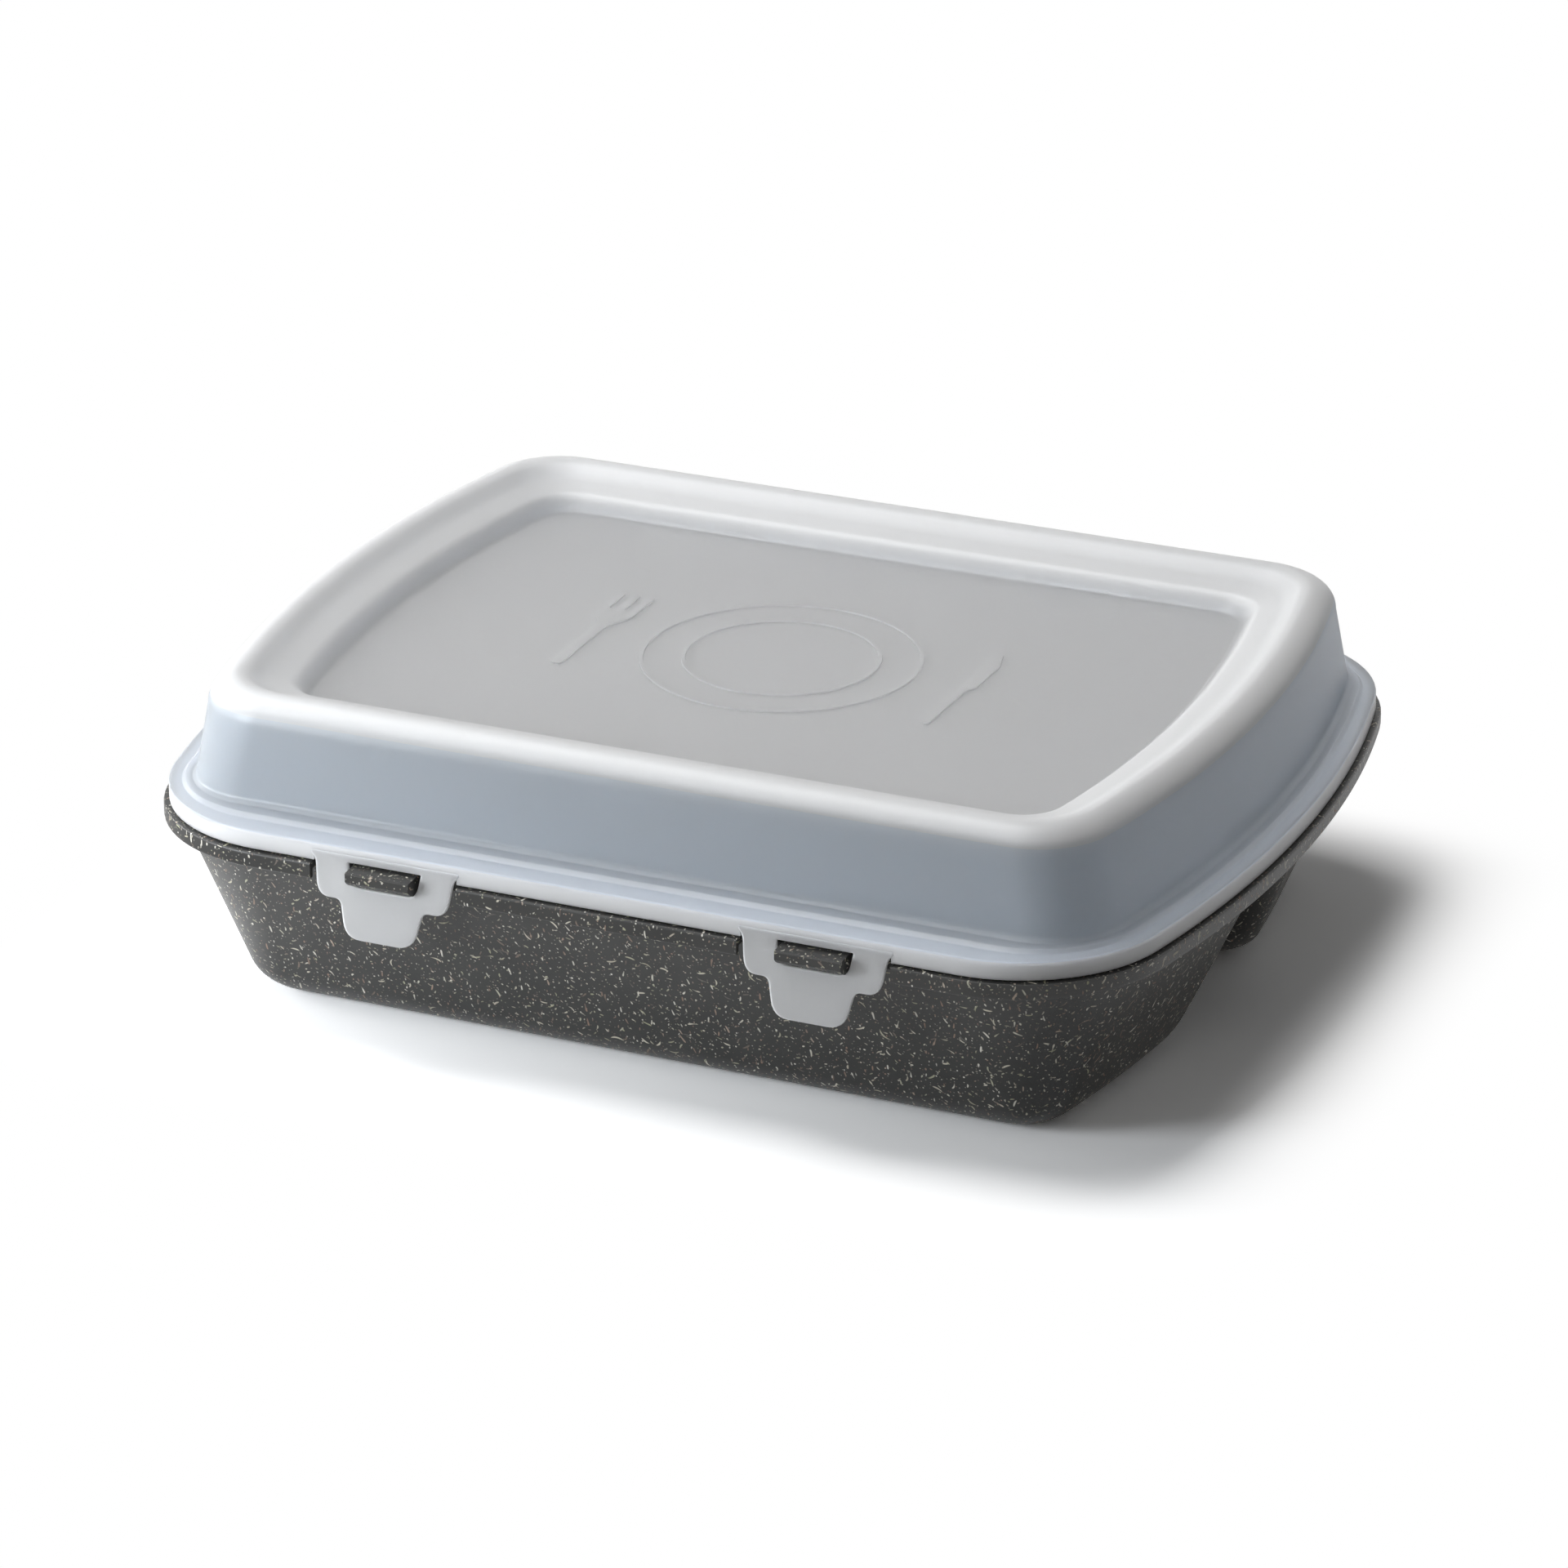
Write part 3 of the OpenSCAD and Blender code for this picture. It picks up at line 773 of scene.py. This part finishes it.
def frosted_plastic():
    """Milky plastic with a fine grain, as clear as each point says. The walls carry painted shade:
    a blue tint that stands in for the cool light on them.
    """
    material, tree, shader = new_material("frosted_plastic")
    place = add(tree, "ShaderNodeTexCoord").outputs["Object"]
    clear = add(tree, "ShaderNodeAttribute", attribute_name="clear").outputs["Fac"]
    cloud = add(tree, "ShaderNodeTexNoise", {"Vector": place, "Scale": 35, "Detail": 2})
    tint = add(tree, "ShaderNodeValToRGB", {0: cloud.outputs[0]})
    tint.color_ramp.elements[0].color = (0.93, 0.94, 0.955, 1)
    tint.color_ramp.elements[1].color = (0.96, 0.965, 0.975, 1)
    on_wall = add(
        tree, "ShaderNodeMapRange",
        {
            "Value": clear, "From Min": PANEL_CLEAR, "From Max": WALL_CLEAR,
            "To Min": 0.0, "To Max": 1.0,
        },
    )
    # Painted shade: the clearer walls are tinted blue, a tint that stands in for the cool light
    # falling on them.
    painted_blue_shade = add(tree, "ShaderNodeMix", data_type="RGBA")
    tree.links.new(on_wall.outputs[0], painted_blue_shade.inputs[0])
    tree.links.new(tint.outputs[0], painted_blue_shade.inputs[6])
    painted_blue_shade.inputs[7].default_value = (0.80, 0.87, 0.98, 1)
    tree.links.new(painted_blue_shade.outputs[2], shader.inputs["Base Color"])
    tree.links.new(clear, shader.inputs["Transmission Weight"])
    shader.inputs["Roughness"].default_value = 0.38
    shader.inputs["IOR"].default_value = 1.49
    shader.inputs["Subsurface Weight"].default_value = 1
    shader.inputs["Subsurface Radius"].default_value = (1, 1, 1)
    shader.inputs["Subsurface Scale"].default_value = 0.004
    grain = add(tree, "ShaderNodeTexNoise", {"Vector": place, "Scale": 2600, "Detail": 2})
    bump = add(
        tree, "ShaderNodeBump",
        {"Height": grain.outputs[0], "Strength": 0.12, "Distance": 0.00004},
    )
    tree.links.new(bump.outputs[0], shader.inputs["Normal"])
    return material


def set_clearness(piece, clearness):
    """Stores how clear the plastic is at each point, from the point and its normal."""
    values = [clearness(v.co / MM, v.normal) for v in piece.data.vertices]
    piece.data.attributes.new("clear", "FLOAT", "POINT").data.foreach_set("value", values)


def ease(low, high, value):
    t = min(max((value - low) / (high - low), 0), 1)
    return t * t * (3 - 2 * t)


def lid_clearness(point, normal):
    """The lip and the crest are milky; the ledge, the walls and the panel are clearer."""
    height = point.z - tray_h
    bowed_edge = half_w - side_bow_r + math.sqrt(side_bow_r ** 2 - point.y ** 2)
    inset = min(bowed_edge - abs(point.x), half_d - abs(point.y))
    outside = 1 - ease(17, 19, inset)
    wall = ease(lip_h - 1.2, lip_h - 0.2, height) * (1 - ease(crest_h - 3.8, crest_h - 2, height))
    panel = (1 - outside) * (1 - ease(crest_h - panel_drop + 0.5, crest_h - panel_drop + 3, height))
    return max(WALL_CLEAR * wall * outside, PANEL_CLEAR * panel)


def tab_clearness(point, normal):
    """A tab's faces, which lean by its tilt, are clearer than its rounded edges."""
    return TAB_CLEAR * ease(0.985, 0.999, face_on(normal))


def dress(piece, material):
    piece.data.materials.clear()
    piece.data.materials.append(material)


# Studio: camera, floor and lights
CAMERA_AZIMUTH = math.radians(23.63)
CAMERA_ELEVATION = math.radians(23.21)
CAMERA_ROLL = math.radians(-0.136)
CAMERA_DISTANCE = 1.3863
CAMERA_TARGET = Vector((0.000776, -0.000725, 0.0345))
CAMERA_LENS = 148.26


def make_camera():
    deselect_all()
    bpy.ops.object.camera_add()
    camera = bpy.context.object
    turn = Matrix.Rotation(CAMERA_AZIMUTH, 4, "Z")
    lean = Matrix.Rotation(math.pi / 2 - CAMERA_ELEVATION, 4, "X")
    roll = Matrix.Rotation(CAMERA_ROLL, 4, "Z")
    away = Matrix.Translation((0, 0, CAMERA_DISTANCE))
    camera.matrix_world = Matrix.Translation(CAMERA_TARGET) @ turn @ lean @ roll @ away
    camera.data.lens = CAMERA_LENS
    camera.data.sensor_width = 36
    camera.data.clip_end = 50
    bpy.context.scene.camera = camera


def soft_light(name, place, aim, size, power):
    deselect_all()
    bpy.ops.object.light_add(type="AREA", location=place)
    light = bpy.context.object
    light.name = name
    light.data.shape = "RECTANGLE"
    light.data.size, light.data.size_y = size
    light.data.energy = power
    light.rotation_euler = (Vector(aim) - Vector(place)).to_track_quat("-Z", "Y").to_euler()
    return light


def seen_directly(tree):
    """1 for rays that show the background: seen by the camera, mirrored or through the lid."""
    path = add(tree, "ShaderNodeLightPath")
    either = math_node(
        tree, "MAXIMUM", path.outputs["Is Camera Ray"], path.outputs["Is Glossy Ray"]
    )
    return math_node(tree, "MAXIMUM", either, path.outputs["Is Transmission Ray"])


def make_floor():
    """White away from the box; beside it the floor shows the box's shadow."""
    footprint = ((half_w - 8) * MM, (half_d - 8) * MM, 0)
    deselect_all()
    bpy.ops.mesh.primitive_plane_add(size=8)
    floor = bpy.context.object
    floor.name = "floor"
    material, tree, shader = new_material("pale_floor")
    tree.nodes.remove(shader)
    place = add(tree, "ShaderNodeTexCoord").outputs["Object"]
    beyond = vector_node(tree, "SUBTRACT", vector_node(tree, "ABSOLUTE", place), footprint)
    away = vector_node(tree, "LENGTH", vector_node(tree, "MAXIMUM", beyond, (0, 0, 0)))
    far = add(
        tree, "ShaderNodeMapRange",
        {"Value": away, "From Min": 0.004, "From Max": 0.042, "To Min": 0.0, "To Max": 1.0},
        interpolation_type="SMOOTHSTEP",
    ).outputs[0]
    direct = seen_directly(tree)
    lift = add(tree, "ShaderNodeMapRange", {"Value": direct, "To Min": 0.35, "To Max": 1.7})
    diffuse = add(tree, "ShaderNodeBsdfDiffuse", {"Color": lift.outputs[0]})
    bounce = add(tree, "ShaderNodeMapRange", {"Value": direct, "To Min": 0.12, "To Max": 0.0})
    glow = add(tree, "ShaderNodeEmission", {"Strength": bounce.outputs[0]})
    lit = add(tree, "ShaderNodeAddShader", {0: diffuse.outputs[0], 1: glow.outputs[0]})
    white = add(tree, "ShaderNodeEmission", {"Strength": 1.0})
    blank = math_node(tree, "MULTIPLY", far, direct)
    mixed = add(
        tree, "ShaderNodeMixShader", {0: blank, 1: lit.outputs[0], 2: white.outputs[0]}
    )
    below = add(tree, "ShaderNodeNewGeometry").outputs["Backfacing"]
    open_below = add(
        tree, "ShaderNodeMixShader",
        {0: below, 1: mixed.outputs[0], 2: add(tree, "ShaderNodeBsdfTransparent").outputs[0]},
    )
    output = tree.nodes["Material Output"]
    tree.links.new(open_below.outputs[0], output.inputs["Surface"])
    dress(floor, material)


def make_world():
    world = bpy.data.worlds.new("studio")
    bpy.context.scene.world = world
    world.use_nodes = True
    tree = world.node_tree
    background = tree.nodes["Background"]
    direct = seen_directly(tree)
    strength = add(tree, "ShaderNodeMapRange", {"Value": direct, "To Min": 0.12, "To Max": 1.0})
    tree.links.new(strength.outputs[0], background.inputs["Strength"])
    background.inputs["Color"].default_value = (1, 1, 1, 1)


make_camera()
make_floor()
make_world()
soft_light("key_light", (-0.45, 0.08, 1.2), (0, 0, 0.03), (0.85, 0.85), 9.8)
soft_light("side_light", (-0.6, -0.05, 0.16), (-0.1, 0, 0.05), (0.3, 0.2), 1.6)
front = soft_light("front_light", (-0.3, -0.34, 0.13), (-0.09, -0.08, 0.03), (0.16, 0.16), 1.4)
front.data.color = (0.92, 0.96, 1.0)
bpy.context.scene.view_settings.view_transform = "Standard"

composite = speckled_composite()
frosted = frosted_plastic()

tray = make_tray()
dress(tray, composite)
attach(tray, "tray")
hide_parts("base_tray")

lid = make_lid()
dress(lid, frosted)
set_clearness(lid, lid_clearness)
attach(lid, "lid")
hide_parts("lid")

for node_name, body, (side, x) in zip(
    ("front_left_tab", "front_right_tab", "rear_left_tab", "rear_right_tab"),
    ("left_tab", "right_tab", "tray", "tray"),
    ((1, -tab_pitch / 2), (1, tab_pitch / 2), (-1, -tab_pitch / 2), (-1, tab_pitch / 2)),
):
    tab = make_tab(node_name.replace("_tab", "_hook"), side, x)
    dress(tab, frosted)
    set_clearness(tab, tab_clearness)
    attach(tab, body)
    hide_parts(node_name)
